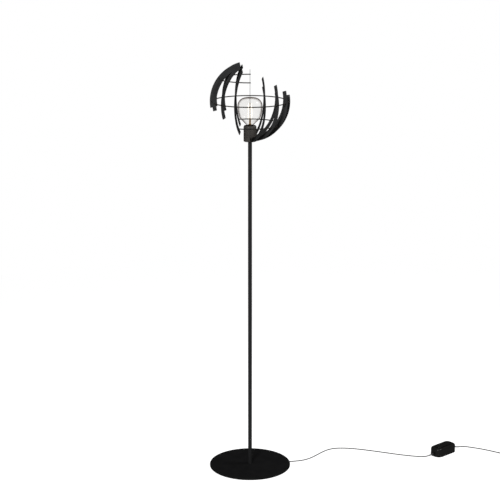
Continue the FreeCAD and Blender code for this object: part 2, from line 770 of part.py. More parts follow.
def coil_path():
    """A straight end, the turns as biarcs of about a quarter turn, and a straight end."""
    steps = round(coil_sweep() / 90)
    turns = [coil_sweep() * k / steps for k in range(steps + 1)]
    edges = [segment(coil_end(0)[0], coil_point(0))]
    for turned, onward in zip(turns, turns[1:]):
        edges += biarc(coil_point(turned), coil_heading(turned), coil_point(onward), coil_heading(onward))
    edges.append(segment(coil_point(turns[-1]), coil_end(turns[-1])[0]))
    return Part.Wire(edges)


def coil_self_gap():
    """The least distance between turns, measured on points, less one cord diameter."""
    step = 6.0
    count = int(coil_sweep() / step)
    points = [coil_point(k * step) for k in range(count + 1)]
    apart = int(180 / step)
    least = min((p - q).Length for k, p in enumerate(points) for q in points[k + apart:])
    return least - 2 * CORD_R


def cord_coil():
    print("cord_coil least gap to itself", round(coil_self_gap(), 2))
    return cord_tube("cord_coil", coil_path())


def coil_tie():
    """A soft band round the coil at one side, which lies under it on the floor."""
    half_width = TIE_WIDTH / 2
    inner = math.sqrt((COIL_INNER_R - CORD_R) ** 2 - half_width ** 2) - TIE_CLEAR
    outer = coil_outer_r() + CORD_R + TIE_CLEAR
    top = coil_level(1) + CORD_R + TIE_CLEAR
    hole = box(inner, outer, -half_width, half_width, TIE_T, top)
    band = box(inner - TIE_T, outer + TIE_T, -half_width, half_width, 0, top + TIE_T)
    long_edges = [edge for edge in band.Edges if edge.BoundBox.YLength > half_width]
    band = band.makeFillet(2 * TIE_T, long_edges)
    long_edges = [edge for edge in hole.Edges if edge.BoundBox.YLength > half_width]
    band = band.cut(hole.makeFillet(TIE_T, long_edges))
    return placed(band, COIL_X, COIL_Y, TIE_ANGLE)


def tail_route():
    """From the coil's upper layer over its edge to the floor, and up into the plug's relief."""
    start, heading = coil_end(coil_sweep())
    points = [start, start + heading * 9, start + V(1.2, 19, -1.2), start + V(3.6, 31, -3.6)]
    points += [V(start.x + 8, start.y + 43, CORD_Z), V(start.x + 15.5, start.y + 54, CORD_Z)]
    points += [V(start.x + 25, start.y + 63.5, 3.4), V(start.x + 35, start.y + 70.5, 5.6)]
    points += [V(start.x + 44, start.y + 76, PLUG_T / 2), V(start.x + 52, start.y + 80.5, PLUG_T / 2)]
    return points


def cord_tail():
    return cord_tube("cord_tail", cord_path("cord_tail", tail_route()))


# ---------------------------------------------------------------- foot switch
def in_switch_place(shape):
    return placed(shape, SWITCH_X, SWITCH_Y, SWITCH_TURN)


def inside_switch(z0, z1):
    return rounded_prism(SWITCH_L - 2 * SWITCH_WALL, SWITCH_W - 2 * SWITCH_WALL, SWITCH_CORNER_R - SWITCH_WALL, z0, z1)


def boss_places():
    return [(x, y) for x in (-BOSS_X, BOSS_X) for y in (-BOSS_Y, BOSS_Y)]


def cord_way():
    return Part.makeCylinder(GROMMET_R, SWITCH_L, V(-SWITCH_L / 2, 0, SWITCH_SPLIT), V(1, 0, 0))


def switch_base():
    shell = rounded_prism(SWITCH_L, SWITCH_W, SWITCH_CORNER_R, 0, SWITCH_SPLIT)
    shell = shell.cut(inside_switch(SWITCH_WALL, SWITCH_SPLIT)).cut(cord_way())
    head_top = SCREW_SINK + SCREW_HEAD_T
    for x, y in boss_places():
        shell = shell.fuse(cylinder(BOSS_R, 0, SWITCH_SPLIT, x, y))
        shell = shell.cut(cylinder(SCREW_HEAD_R + THREAD_CLEAR, 0, head_top, x, y))
        shell = shell.cut(cylinder(SCREW_R + THREAD_CLEAR, 0, SWITCH_SPLIT, x, y))
    return in_switch_place(shell.removeSplitter())


def switch_cover():
    shell = rounded_prism(SWITCH_L, SWITCH_W, SWITCH_CORNER_R, SWITCH_SPLIT, SWITCH_H)
    shell = shell.makeFillet(SWITCH_TOP_R, edges_at(shell, SWITCH_H))
    under = SWITCH_H - SWITCH_WALL
    hollow = inside_switch(SWITCH_SPLIT, under)
    hollow = hollow.makeFillet(SWITCH_TOP_R - SWITCH_WALL, edges_at(hollow, under))
    shell = shell.cut(hollow).cut(cord_way())
    window_l = BUTTON_L + 2 * BUTTON_CLEAR
    window_w = BUTTON_W + 2 * BUTTON_CLEAR
    shell = shell.cut(rounded_prism(window_l, window_w, BUTTON_CORNER_R + BUTTON_CLEAR, under, SWITCH_H))
    screw_top = SCREW_SINK + SCREW_HEAD_T + SCREW_LENGTH + SCREW_SINK
    for x, y in boss_places():
        shell = shell.fuse(cylinder(BOSS_R, SWITCH_SPLIT, under - BOSS_BELOW_CEILING, x, y))
        shell = shell.cut(cylinder(SCREW_R + THREAD_CLEAR, SWITCH_SPLIT, screw_top, x, y))
    return in_switch_place(shell.removeSplitter())


def button_flange_top():
    return SWITCH_H - SWITCH_WALL - BUTTON_CLEAR


def plunger_top():
    return button_flange_top() - STEM_DROP


def switch_button():
    """A hollow cap with a flange that the cover holds down, and a stem over the plunger."""
    top = SWITCH_H + BUTTON_RISE
    flange_top = button_flange_top()
    flange_bottom = flange_top - BUTTON_FLANGE_T
    cap = rounded_prism(BUTTON_L, BUTTON_W, BUTTON_CORNER_R, flange_bottom, top)
    cap = cap.makeFillet(BUTTON_EDGE_R, edges_at(cap, top))
    grow = 2 * BUTTON_FLANGE
    flange = rounded_prism(BUTTON_L + grow, BUTTON_W + grow, BUTTON_CORNER_R + BUTTON_FLANGE, flange_bottom, flange_top)
    shrink = 2 * BUTTON_WALL
    hollow = rounded_prism(BUTTON_L - shrink, BUTTON_W - shrink, BUTTON_CORNER_R - BUTTON_WALL, flange_bottom, top - BUTTON_WALL)
    stem = cylinder(PLUNGER_R + BUTTON_WALL, plunger_top(), top - BUTTON_WALL)
    return in_switch_place(cap.fuse(flange).cut(hollow).fuse(stem).removeSplitter())


def block_top():
    return SWITCH_WALL + BLOCK[2]


def switch_block():
    """The push switch itself, on the housing's floor, with a bore for its plunger."""
    length, width, height = BLOCK
    block = box(-length / 2, length / 2, -width / 2, width / 2, SWITCH_WALL, block_top())
    bore_bottom = block_top() - PLUNGER_SEAT - BUTTON_TRAVEL - BUTTON_CLEAR
    return in_switch_place(block.cut(cylinder(PLUNGER_R + BUTTON_CLEAR, bore_bottom, block_top())))


def switch_plunger():
    return in_switch_place(cylinder(PLUNGER_R, block_top() - PLUNGER_SEAT, plunger_top()))


def switch_screws():
    screws = []
    head_top = SCREW_SINK + SCREW_HEAD_T
    for x, y in boss_places():
        head = cylinder(SCREW_HEAD_R, SCREW_SINK, head_top, x, y)
        screws.append(head.fuse(cylinder(SCREW_R, head_top, head_top + SCREW_LENGTH, x, y)).removeSplitter())
    return in_switch_place(Part.makeCompound(screws))


def switch_grommets():
    """A rubber sleeve where the cord passes through each end wall, with a collar inside it."""
    bore = CORD_R + CORD_IN_GROMMET
    sleeve_r = GROMMET_R - CORD_IN_GROMMET
    wall_end = GROMMET_OUT + SWITCH_WALL
    profile = [(bore, 0), (sleeve_r, 0), (GROMMET_COLLAR_R, GROMMET_OUT), (sleeve_r, GROMMET_OUT)]
    profile += [(sleeve_r, wall_end), (GROMMET_COLLAR_R, wall_end)]
    profile += [(GROMMET_COLLAR_R, GROMMET_OUT + GROMMET_IN), (bore, GROMMET_OUT + GROMMET_IN)]
    pieces = []
    for side in (0, 180):
        sleeve = lathe(profile)
        sleeve.rotate(FLOOR, V(0, 1, 0), 90)
        sleeve.translate(V(-SWITCH_L / 2 - GROMMET_OUT, 0, SWITCH_SPLIT))
        sleeve.rotate(FLOOR, UP, side)
        pieces.append(sleeve)
    return in_switch_place(Part.makeCompound(pieces))


# ---------------------------------------------------------------- plug
def plug_placement(shape):
    """The plug lies flat on the floor, in line with the end of the cord's tail."""
    before, end = tail_route()[-2:]
    way = end - before
    return placed(shape, end.x, end.y, math.degrees(math.atan2(way.y, way.x)))


def plug_body():
    """A flat moulded body that narrows to a tapered relief round the cord."""
    half = PLUG_W / 2
    neck = PLUG_NECK_W / 2
    start = RELIEF_L
    front = RELIEF_L + PLUG_L
    plan = [V(start, -neck, 0), V(front - PLUG_STRAIGHT, -half, 0), V(front, -half, 0)]
    plan += [V(front, half, 0), V(front - PLUG_STRAIGHT, half, 0), V(start, neck, 0)]
    body = Part.Face(outline(plan)).extrude(V(0, 0, PLUG_T))
    rims = [edge for edge in body.Edges if edge.BoundBox.XMax < front - 1 or edge.BoundBox.ZLength < 1]
    rims = [edge for edge in rims if edge.BoundBox.XMin < front - 1]
    body = body.makeFillet(PLUG_EDGE_R, rims)
    relief = Part.makeCone(RELIEF_TIP_R, RELIEF_R, RELIEF_L, V(0, 0, PLUG_T / 2), V(1, 0, 0))
    body = body.fuse(relief)
    for side in (-1, 1):
        at = V(front - PIN_SINK, side * PIN_SPACING / 2, PLUG_T / 2)
        body = body.cut(Part.makeCylinder(PIN_SHANK_R + THREAD_CLEAR, PIN_SINK, at, V(1, 0, 0)))
    return plug_placement(body.removeSplitter())


def plug_pins():
    """Round pins with rounded tips, each moulded into the body by a thinner shank."""
    pins = []
    front = RELIEF_L + PLUG_L
    for side in (-1, 1):
        at = V(front, side * PIN_SPACING / 2, PLUG_T / 2)
        pin = Part.makeCylinder(PIN_R, PIN_L, at, V(1, 0, 0))
        tip = [edge for edge in pin.Edges if abs(edge.BoundBox.XMin - front - PIN_L) < 0.01]
        pin = pin.makeFillet(PIN_R / 2, tip)
        shank_end = at - V(PIN_SINK, 0, 0)
        pins.append(pin.fuse(Part.makeCylinder(PIN_SHANK_R, PIN_SINK, shank_end, V(1, 0, 0))))
    return plug_placement(Part.makeCompound(pins))


# ---------------------------------------------------------------- the parts
def write_cage():
    for k in range(strip_count()):
        azimuth = k * STRIP_STEP
        top, foot = strip_ends(azimuth)
        save("cage_strip_%03d" % azimuth, cage_strip(azimuth, top, foot))
    save("cage_ring_middle", cage_ring(0, 0, 360))
    save("cage_ring_upper", part_ring(SIDE_RING_LATITUDE, 180, 180 - UPPER_RING_REACH))
    save("cage_ring_lower", part_ring(-SIDE_RING_LATITUDE, 0, LOWER_RING_REACH))


def write_single_pieces():
    makers = (base_plate, base_pad, pole_foot_stub, pole_tube, pole_top_insert, threaded_rod)
    makers += (hub_washer, hub_nut, cage_hub)
    makers += (socket_cup, holder_base, holder_body, holder_shell, holder_contact, holder_terminals)
    makers += (bulb_glass, bulb_cap, bulb_cap_insulator, bulb_tip_contact)
    makers += (bulb_stem, bulb_filaments, bulb_wires)
    makers += (cord_inner, cord_to_switch, cord_coil, coil_tie, cord_tail)
    makers += (switch_base, switch_cover, switch_button, switch_plunger)
    makers += (switch_block, switch_screws, switch_grommets)
    makers += (plug_body, plug_pins)
    for maker in makers:
        save(maker.__name__, maker())
    save("cord_to_coil", cord_tube("cord_to_coil", cord_path("cord_to_coil", far_route())))


write_cage()
write_single_pieces()
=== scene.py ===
import bpy
import math
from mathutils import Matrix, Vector


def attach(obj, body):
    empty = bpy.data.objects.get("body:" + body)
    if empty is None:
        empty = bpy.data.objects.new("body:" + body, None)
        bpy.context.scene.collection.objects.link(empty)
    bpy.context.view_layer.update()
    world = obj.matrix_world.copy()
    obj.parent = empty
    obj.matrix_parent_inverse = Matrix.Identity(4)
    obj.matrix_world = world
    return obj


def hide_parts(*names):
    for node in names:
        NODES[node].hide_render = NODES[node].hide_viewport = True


# Looks for the wire cage floor lamp. Metres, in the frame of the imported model: the origin is the
# centre of the foot's underside, +Z is up and -Y faces the camera.

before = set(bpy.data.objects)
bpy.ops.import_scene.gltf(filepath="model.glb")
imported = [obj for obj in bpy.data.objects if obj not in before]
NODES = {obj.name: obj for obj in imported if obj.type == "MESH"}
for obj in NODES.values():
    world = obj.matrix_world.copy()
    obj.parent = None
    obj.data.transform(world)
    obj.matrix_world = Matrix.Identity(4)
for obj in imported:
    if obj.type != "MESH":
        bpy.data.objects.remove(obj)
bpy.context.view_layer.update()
scene = bpy.context.scene

WHITE = (1.0, 1.0, 1.0)


# ---------------------------------------------------------------- node helpers
MATT_ROUGHNESS = 0.8
BEVEL_SAMPLES = 6
# Cosines between the plain and the rounded normal, where an edge begins to count and counts in full.
EDGE_BEGINS, EDGE_FULL = 0.995, 0.86


class Graph:
    """The nodes of one material or of the world, with short calls for the nodes used here."""

    def __init__(self, owner, output="ShaderNodeOutputMaterial"):
        owner.use_nodes = True
        self.owner = owner
        self.tree = owner.node_tree
        self.tree.nodes.clear()
        self.out = self.node(output)

    def node(self, kind, **settings):
        made = self.tree.nodes.new(kind)
        for key, value in settings.items():
            setattr(made, key, value)
        return made

    def feed(self, source, socket):
        """Link an output to the socket, or set a colour or a number on the socket itself."""
        if isinstance(source, bpy.types.NodeSocket):
            self.tree.links.new(source, socket)
        elif isinstance(source, tuple):
            socket.default_value = (*source, 1.0)
        else:
            socket.default_value = source

    def place(self, stretch=(1.0, 1.0, 1.0)):
        """Object coordinates in metres, multiplied by stretch."""
        mapping = self.node("ShaderNodeMapping")
        mapping.inputs["Scale"].default_value = stretch
        self.feed(self.node("ShaderNodeTexCoord").outputs["Object"], mapping.inputs["Vector"])
        return mapping.outputs["Vector"]

    def noise(self, scale, detail, roughness=0.55, stretch=(1.0, 1.0, 1.0)):
        made = self.node("ShaderNodeTexNoise")
        made.inputs["Scale"].default_value = scale
        made.inputs["Detail"].default_value = detail
        made.inputs["Roughness"].default_value = roughness
        self.feed(self.place(stretch), made.inputs["Vector"])
        return made.outputs["Fac"]

    def cells(self, scale):
        made = self.node("ShaderNodeTexVoronoi")
        made.inputs["Scale"].default_value = scale
        self.feed(self.place(), made.inputs["Vector"])
        return made.outputs["Distance"]

    def spread(self, value, low, high, new_low=0.0, new_high=1.0):
        """The value taken from low..high to new_low..new_high, and held there outside them."""
        made = self.node("ShaderNodeMapRange")
        for name, source in (
            ("Value", value), ("From Min", low), ("From Max", high),
            ("To Min", new_low), ("To Max", new_high),
        ):
            self.feed(source, made.inputs[name])
        return made.outputs["Result"]

    def math(self, operation, first, second):
        made = self.node("ShaderNodeMath", operation=operation)
        self.feed(first, made.inputs[0])
        self.feed(second, made.inputs[1])
        return made.outputs["Value"]

    def mix(self, share, first, second):
        """A colour between two colours, each a tuple or an output."""
        made = self.node("ShaderNodeMix", data_type="RGBA")
        for index, source in ((0, share), (6, first), (7, second)):
            self.feed(source, made.inputs[index])
        return made.outputs[2]

    def rounded(self, radius):
        """The normal, as if every sharp edge had this radius."""
        made = self.node("ShaderNodeBevel", samples=BEVEL_SAMPLES)
        made.inputs["Radius"].default_value = radius
        return made.outputs["Normal"]

    def edges(self, radius):
        """Near 1 along sharp edges and 0 on flat stretches."""
        made = self.node("ShaderNodeVectorMath", operation="DOT_PRODUCT")
        self.feed(self.rounded(radius), made.inputs[0])
        self.feed(self.node("ShaderNodeNewGeometry").outputs["Normal"], made.inputs[1])
        return self.spread(made.outputs["Value"], EDGE_BEGINS, EDGE_FULL)

    def bump(self, height, distance, strength, normal=None):
        made = self.node("ShaderNodeBump")
        made.inputs["Distance"].default_value = distance
        made.inputs["Strength"].default_value = strength
        self.feed(height, made.inputs["Height"])
        if normal is not None:
            self.feed(normal, made.inputs["Normal"])
        return made.outputs["Normal"]

    def surface(self, colour, roughness, normal, **values):
        """A Principled surface. The values are constants on the sockets that they name."""
        shader = self.node("ShaderNodeBsdfPrincipled")
        for socket, source in (("Base Color", colour), ("Roughness", roughness), ("Normal", normal)):
            self.feed(source, shader.inputs[socket])
        for key, value in values.items():
            shader.inputs[key.replace("_", " ")].default_value = value
        self.show(shader)
        return shader

    def glossy(self, roughness, normal):
        shader = self.node("ShaderNodeBsdfGlossy")
        self.feed(roughness, shader.inputs["Roughness"])
        self.feed(normal, shader.inputs["Normal"])
        return shader

    def emission(self, strength):
        shader = self.node("ShaderNodeEmission")
        self.feed(WHITE, shader.inputs["Color"])
        self.feed(strength, shader.inputs["Strength"])
        return shader

    def show(self, shader):
        self.feed(shader.outputs[0], self.out.inputs["Surface"])

    def show_mixed(self, share, first, second):
        """Show the first shader, with this share of the second in its place."""
        mixed = self.node("ShaderNodeMixShader")
        for index, source in enumerate((share, first.outputs[0], second.outputs[0])):
            self.feed(source, mixed.inputs[index])
        self.show(mixed)

    def matt_with_gloss(self, colour, roughness, normal, share):
        """A matt surface with an even gloss on it: the same share of it shines at every angle."""
        body = self.surface(colour, MATT_ROUGHNESS, normal, Specular_IOR_Level=0.0)
        self.show_mixed(share, body, self.glossy(roughness, normal))

    def background_is_seen(self):
        """1 where the camera, a gloss or a glass looks at the surroundings, 0 where they give light."""
        path = self.node("ShaderNodeLightPath")
        seen = self.math("MAXIMUM", path.outputs["Is Camera Ray"], path.outputs["Is Glossy Ray"])
        return self.math("MAXIMUM", seen, path.outputs["Is Transmission Ray"])


def material_graph(name):
    return Graph(bpy.data.materials.new(name))


def scaled(colour, factor, offset=0.0):
    return tuple(factor * channel + offset for channel in colour)


# ---------------------------------------------------------------- materials
def powder_coat(name, dark, light, gloss, share, edge_r=0.0005):
    """Matt black powder coat: a fine orange peel, a faint cloud in its colour, and a painted highlight:
    thin paler edges.
    """
    g = material_graph(name)
    peel = g.noise(750.0, 2.0)
    grit = g.noise(4200.0, 2.0, 0.7)
    cloud = g.spread(g.noise(22.0, 4.0), 0.35, 0.65)
    # Painted highlight: the colour turns paler along sharp edges, where they would catch the light.
    painted_edge_highlight = g.math("MULTIPLY", g.edges(1.6 * edge_r), 0.45)
    colour = g.mix(painted_edge_highlight, g.mix(cloud, dark, light), scaled(light, 2.2, 0.004))
    rough = g.spread(grit, 0.3, 0.7, gloss - 0.05, gloss + 0.07)
    normal = g.bump(peel, 0.00005, 0.35, g.rounded(edge_r))
    normal = g.bump(grit, 0.000006, 0.4, normal)
    g.matt_with_gloss(colour, rough, normal, share)
    return g.owner


def plated_steel(name, tone, gloss):
    """Bright zinc on steel, with drawing lines along it and a mottled bloom."""
    g = material_graph(name)
    lines = g.noise(900.0, 3.0, 0.6, stretch=(1.0, 1.0, 0.04))
    bloom = g.spread(g.cells(260.0), 0.0, 0.6)
    colour = g.mix(bloom, tone, scaled(tone, 0.72))
    rough = g.spread(lines, 0.3, 0.7, gloss - 0.08, gloss + 0.12)
    g.surface(colour, rough, g.bump(lines, 0.00002, 0.4, g.rounded(0.0003)), Metallic=1.0)
    return g.owner


def moulded(name, dark, light, gloss, specular, grain=1700.0, depth=0.00004):
    """Moulded plastic: a spark-eroded grain, softened edges that shine a little from handling."""
    edge_r = 0.0006
    g = material_graph(name)
    cloud = g.spread(g.noise(35.0, 3.0), 0.35, 0.65)
    rub = g.math("MULTIPLY", g.edges(1.5 * edge_r), g.spread(g.noise(160.0, 2.0), 0.35, 0.6))
    plain_rough = g.spread(g.noise(900.0, 2.0), 0.3, 0.7, gloss - 0.04, gloss + 0.06)
    rough = g.math("SUBTRACT", plain_rough, g.math("MULTIPLY", rub, 0.14))
    normal = g.bump(g.cells(grain), depth, 0.5, g.rounded(edge_r))
    g.surface(g.mix(cloud, dark, light), rough, normal, Specular_IOR_Level=specular)
    return g.owner


def smooth_moulding(name, dark, light, gloss, share):
    """Near-black moulded plastic with rounded edges that catch the light: a small share of it shines."""
    g = material_graph(name)
    cloud = g.spread(g.noise(35.0, 3.0), 0.35, 0.65)
    rub = g.spread(g.noise(160.0, 2.0), 0.35, 0.65)
    rough = g.spread(rub, 0.0, 1.0, gloss - 0.04, gloss + 0.05)
    normal = g.bump(g.cells(1700.0), 0.00001, 0.3, g.rounded(0.002))
    g.matt_with_gloss(g.mix(cloud, dark, light), rough, normal, share)
    return g.owner


def felt(name):
    """Pressed wool felt, with tangled fibres and flecks."""
    g = material_graph(name)
    tangle = g.noise(1300.0, 5.0, 0.75)
    flecks = g.spread(g.cells(900.0), 0.05, 0.35)
    colour = g.mix(flecks, (0.075, 0.075, 0.078), (0.022, 0.022, 0.024))
    g.surface(colour, 0.97, g.bump(tangle, 0.0004, 0.8), Sheen_Weight=0.35, Specular_IOR_Level=0.1)
    return g.owner


def cord_sheath(name):
    """Smooth black flex: a fine skin, with dull scuffs where it has lain on the floor."""
    g = material_graph(name)
    scuff = g.spread(g.noise(420.0, 4.0, 0.7), 0.5, 0.72)
    skin = g.noise(2600.0, 2.0)
    colour = g.mix(scuff, (0.012, 0.012, 0.012), (0.034, 0.034, 0.033))
    rough = g.spread(scuff, 0.0, 1.0, 0.42, 0.68)
    g.surface(colour, rough, g.bump(skin, 0.00003, 0.4), Specular_IOR_Level=0.35)
    return g.owner


# Fainter reflections than real glass has, as in the photograph
GLASS_IOR = 1.3
GLASS_SHINE = 0.6


def clear_glass(name, middle, outline):
    """Thin blown glass: clear face on, toned at its outline, with slow waves and faint seeds in it."""
    g = material_graph(name)
    waves = g.noise(34.0, 2.0, 0.4)
    seeds = g.spread(g.cells(150.0), 0.03, 0.06, 0.985, 1.0)
    inward = g.node("ShaderNodeNewGeometry").outputs["Backfacing"]
    facing = g.node("ShaderNodeLayerWeight").outputs["Facing"]
    rim = g.math("POWER", g.spread(facing, 0.40, 0.90), 1.3)
    tint = g.mix(rim, middle, outline)
    tint = g.mix(g.math("MULTIPLY", g.spread(waves, 0.3, 0.7), 0.05), tint, outline)
    tint = g.mix(seeds, outline, tint)
    tint = g.mix(inward, tint, WHITE)
    clear = g.node("ShaderNodeBsdfTransparent")
    g.feed(tint, clear.inputs["Color"])
    shine = g.glossy(0.2, g.bump(waves, 0.0002, 0.15))
    g.feed(tint, shine.inputs["Color"])
    fresnel = g.node("ShaderNodeFresnel")
    fresnel.inputs["IOR"].default_value = GLASS_IOR
    outer = g.math("MULTIPLY", fresnel.outputs["Fac"], g.math("SUBTRACT", 1.0, inward))
    g.show_mixed(g.math("MULTIPLY", outer, GLASS_SHINE), clear, shine)
    return g.owner


def phosphor(name, colour, strength):
    """A coated light-emitting rod: close rows of chips under a warm skin."""
    g = material_graph(name)
    rows = g.node("ShaderNodeTexWave", bands_direction="Z")
    rows.inputs["Scale"].default_value = 320.0
    rows.inputs["Distortion"].default_value = 0.4
    g.feed(g.place(), rows.inputs["Vector"])
    height = rows.outputs["Fac"]
    tone = g.mix(g.spread(height, 0.1, 0.9), scaled(colour, 0.82), colour)
    shader = g.surface(tone, 0.6, g.bump(height, 0.0001, 0.5), Emission_Strength=strength)
    g.feed(tone, shader.inputs["Emission Color"])
    return g.owner


def drawn_metal(name, tone, gloss):
    """Thin drawn metal with rings round its axis and a few rubbed patches."""
    g = material_graph(name)
    rings = g.noise(1500.0, 2.0, 0.5, stretch=(0.03, 0.03, 1.0))
    patches = g.spread(g.noise(130.0, 3.0), 0.4, 0.65)
    colour = g.mix(patches, tone, scaled(tone, 0.8))
    rough = g.spread(rings, 0.3, 0.7, gloss - 0.06, gloss + 0.1)
    g.surface(colour, rough, g.bump(rings, 0.00002, 0.5), Metallic=1.0)
    return g.owner


def hook_band(name):
    """Woven hook-and-loop tape: a pile of small loops over a ribbed ground."""
    g = material_graph(name)
    loops = g.cells(1500.0)
    ribs = g.noise(2600.0, 2.0, 0.6, stretch=(1.0, 0.25, 1.0))
    colour = g.mix(g.spread(loops, 0.0, 0.5), (0.045, 0.045, 0.048), (0.012, 0.012, 0.013))
    height = g.math("ADD", loops, g.math("MULTIPLY", ribs, 0.5))
    g.surface(colour, 0.93, g.bump(height, 0.0003, 0.8), Sheen_Weight=0.3, Specular_IOR_Level=0.15)
    return g.owner


def sleeved_pins(name, tip, sleeve_end, heading):
    """Nickel-plated pins with a black sleeve from the body to sleeve_end along heading."""
    step = 0.0001
    g = material_graph(name)
    along = g.node("ShaderNodeVectorMath", operation="DOT_PRODUCT")
    g.feed(g.place(), along.inputs[0])
    along.inputs[1].default_value = heading
    metal = g.spread(along.outputs["Value"], sleeve_end - step, sleeve_end + step)
    drawn = g.noise(2400.0, 2.0)
    colour = g.mix(metal, (0.016, 0.016, 0.017), tip)
    rough = g.math("ADD", g.spread(metal, 0.0, 1.0, 0.5, 0.2), g.math("MULTIPLY", drawn, 0.12))
    shader = g.surface(colour, rough, g.bump(drawn, 0.00002, 0.4))
    g.feed(metal, shader.inputs["Metallic"])
    return g.owner


def dress(material, *names):
    """Give the named CAD nodes this material alone."""
    for name in names:
        slots = NODES[name].data.materials
        slots.clear()
        slots.append(material)


STRIPS = sorted(name for name in NODES if name.startswith("cage_strip_"))
RINGS = ("cage_ring_middle", "cage_ring_upper", "cage_ring_lower")
SWITCH_BLACK = {
    "dark": (0.0012, 0.0011, 0.0010), "light": (0.0020, 0.0018, 0.0017), "gloss": 0.29, "share": 0.011,
}
zinc = plated_steel("zinc_plate", (0.60, 0.60, 0.58), gloss=0.32)
flex = cord_sheath("flex_sheath")

# Foot, pole and cage
dress(
    powder_coat(
        "plate_powder_coat", (0.0043, 0.0043, 0.0045), (0.0061, 0.0061, 0.0063), gloss=0.6, share=0.0025,
    ),
    "base_plate",
)
dress(
    powder_coat(
        "pole_powder_coat", (0.0104, 0.0104, 0.0109), (0.0142, 0.0142, 0.0147), gloss=0.40, share=0.006,
    ),
    "pole_tube",
)
dress(
    powder_coat(
        "cage_powder_coat", (0.0166, 0.0170, 0.0174), (0.0240, 0.0244, 0.0248), gloss=0.45, share=0.004,
        edge_r=0.0003,
    ),
    *STRIPS,
)
dress(
    powder_coat(
        "wire_powder_coat", (0.0140, 0.0128, 0.0116), (0.0210, 0.0192, 0.0174), gloss=0.45, share=0.004,
    ),
    *RINGS,
)
dress(
    powder_coat(
        "cup_powder_coat", (0.030, 0.0278, 0.0256), (0.039, 0.0360, 0.0330), gloss=0.36, share=0.007,
    ),
    "cage_hub", "socket_cup",
)
dress(felt("foot_felt"), "base_pad")
dress(zinc, "pole_foot_stub", "pole_top_insert", "threaded_rod", "hub_washer", "hub_nut")

# Lampholder and bulb
dress(
    moulded(
        "holder_thermoset", (0.017, 0.016, 0.016), (0.026, 0.025, 0.025), gloss=0.38, specular=0.45,
        grain=900.0, depth=0.00002,
    ),
    "holder_base", "holder_body",
)
dress(
    drawn_metal("spun_brass", (0.72, 0.50, 0.22), gloss=0.28),
    "holder_shell", "holder_contact", "holder_terminals", "bulb_tip_contact",
)
dress(drawn_metal("cap_aluminium", (0.78, 0.78, 0.79), gloss=0.3), "bulb_cap")
dress(
    moulded("cap_vitrite", (0.010, 0.010, 0.016), (0.02, 0.018, 0.028), gloss=0.18, specular=0.5),
    "bulb_cap_insulator",
)
dress(
    clear_glass("bulb_glass_clear", middle=(0.945, 0.942, 0.935), outline=(0.060, 0.028, 0.012)),
    "bulb_glass",
)
dress(
    clear_glass("stem_glass_clear", middle=(0.27, 0.165, 0.07), outline=(0.13, 0.075, 0.03)),
    "bulb_stem",
)
dress(phosphor("filament_phosphor", (1.0, 0.86, 0.60), strength=4.5), "bulb_filaments")
dress(drawn_metal("lead_nickel", (0.55, 0.50, 0.44), gloss=0.35), "bulb_wires")

# Foot switch, cord and plug
dress(
    smooth_moulding("switch_housing", **SWITCH_BLACK),
    "switch_base", "switch_cover", "switch_grommets",
)
dress(smooth_moulding("switch_button_plastic", **SWITCH_BLACK), "switch_button")
dress(
    moulded("switch_inner_plastic", (0.42, 0.41, 0.38), (0.5, 0.49, 0.46), gloss=0.45, specular=0.4),
    "switch_block", "switch_plunger",
)
dress(zinc, "switch_screws")
dress(
    moulded("plug_plastic", (0.012, 0.012, 0.012), (0.018, 0.018, 0.018), gloss=0.42, specular=0.38),
    "plug_body",
)
dress(hook_band("tie_band"), "coil_tie")
dress(flex, "cord_inner")


# ---------------------------------------------------------------- the cord
CORD_R = 0.002
CORD_Z = 0.0021  # height of the cord's middle where it lies on the floor
EXIT_AZIMUTH = math.radians(10.2)
EXIT_R, EXIT_STRAIGHT = 0.157, 0.030  # the foot's rim, and the straight run outside it
FLOOR_ROUTE = (
    (0.214, 0.0435), (0.243, 0.0675), (0.266, 0.0968), (0.291, 0.131), (0.318, 0.158),
    (0.348, 0.1693), (0.380, 0.170), (0.414, 0.165), (0.450, 0.1545), (0.490, 0.1408),
    (0.530, 0.1254), (0.572, 0.1092), (0.612, 0.095), (0.648, 0.0848), (0.670, 0.0806),
    (0.687, 0.0789),
)
RISE_TO_SWITCH = ((0.702, 0.0773, 0.0046), (0.7145, 0.0778, 0.0088))

SWITCH = Vector((0.7719, 0.1238, 0.0))
SWITCH_TURN = math.radians(42.3)
SWITCH_HALF = 0.055
CORD_ENTRY_Z = 0.012
CORD_IN_SWITCH = 0.004
FALL_FROM_SWITCH = ((0.8265, 0.1708, 0.0082), (0.8365, 0.1783, 0.0044))
ROUTE_TO_COIL = (
    (0.849, 0.186), (0.863, 0.1882), (0.879, 0.1836), (0.902, 0.1745),
    (0.932, 0.1602), (0.962, 0.143), (0.984, 0.1279),
)

# The coil's angles are in degrees.
COIL = Vector((1.050, 0.117, 0.0))
COIL_INNER_R = 0.0165
COIL_PITCH = 0.00455
COIL_LOW_Z = 0.0028
COIL_START = -128.0
COIL_SWEEP = 6 * 360.0 + 128.0
COIL_TURNOVER = 90.0  # on each side of the middle, where the cord turns back outwards and climbs
POINTS_PER_TURN = 20
HEADING_STEP = 0.01
COIL_RUN_IN = 0.030
COIL_RUN_OUT = 0.009

PLUG_LENGTH = 0.060  # from the cord's last point to the roots of the pins
SLEEVE_LENGTH = 0.010


def polar(radius, angle, z=0.0):
    return Vector((radius * math.cos(angle), radius * math.sin(angle), z))


def switch_point(x, z):
    return SWITCH + polar(x, SWITCH_TURN, z)


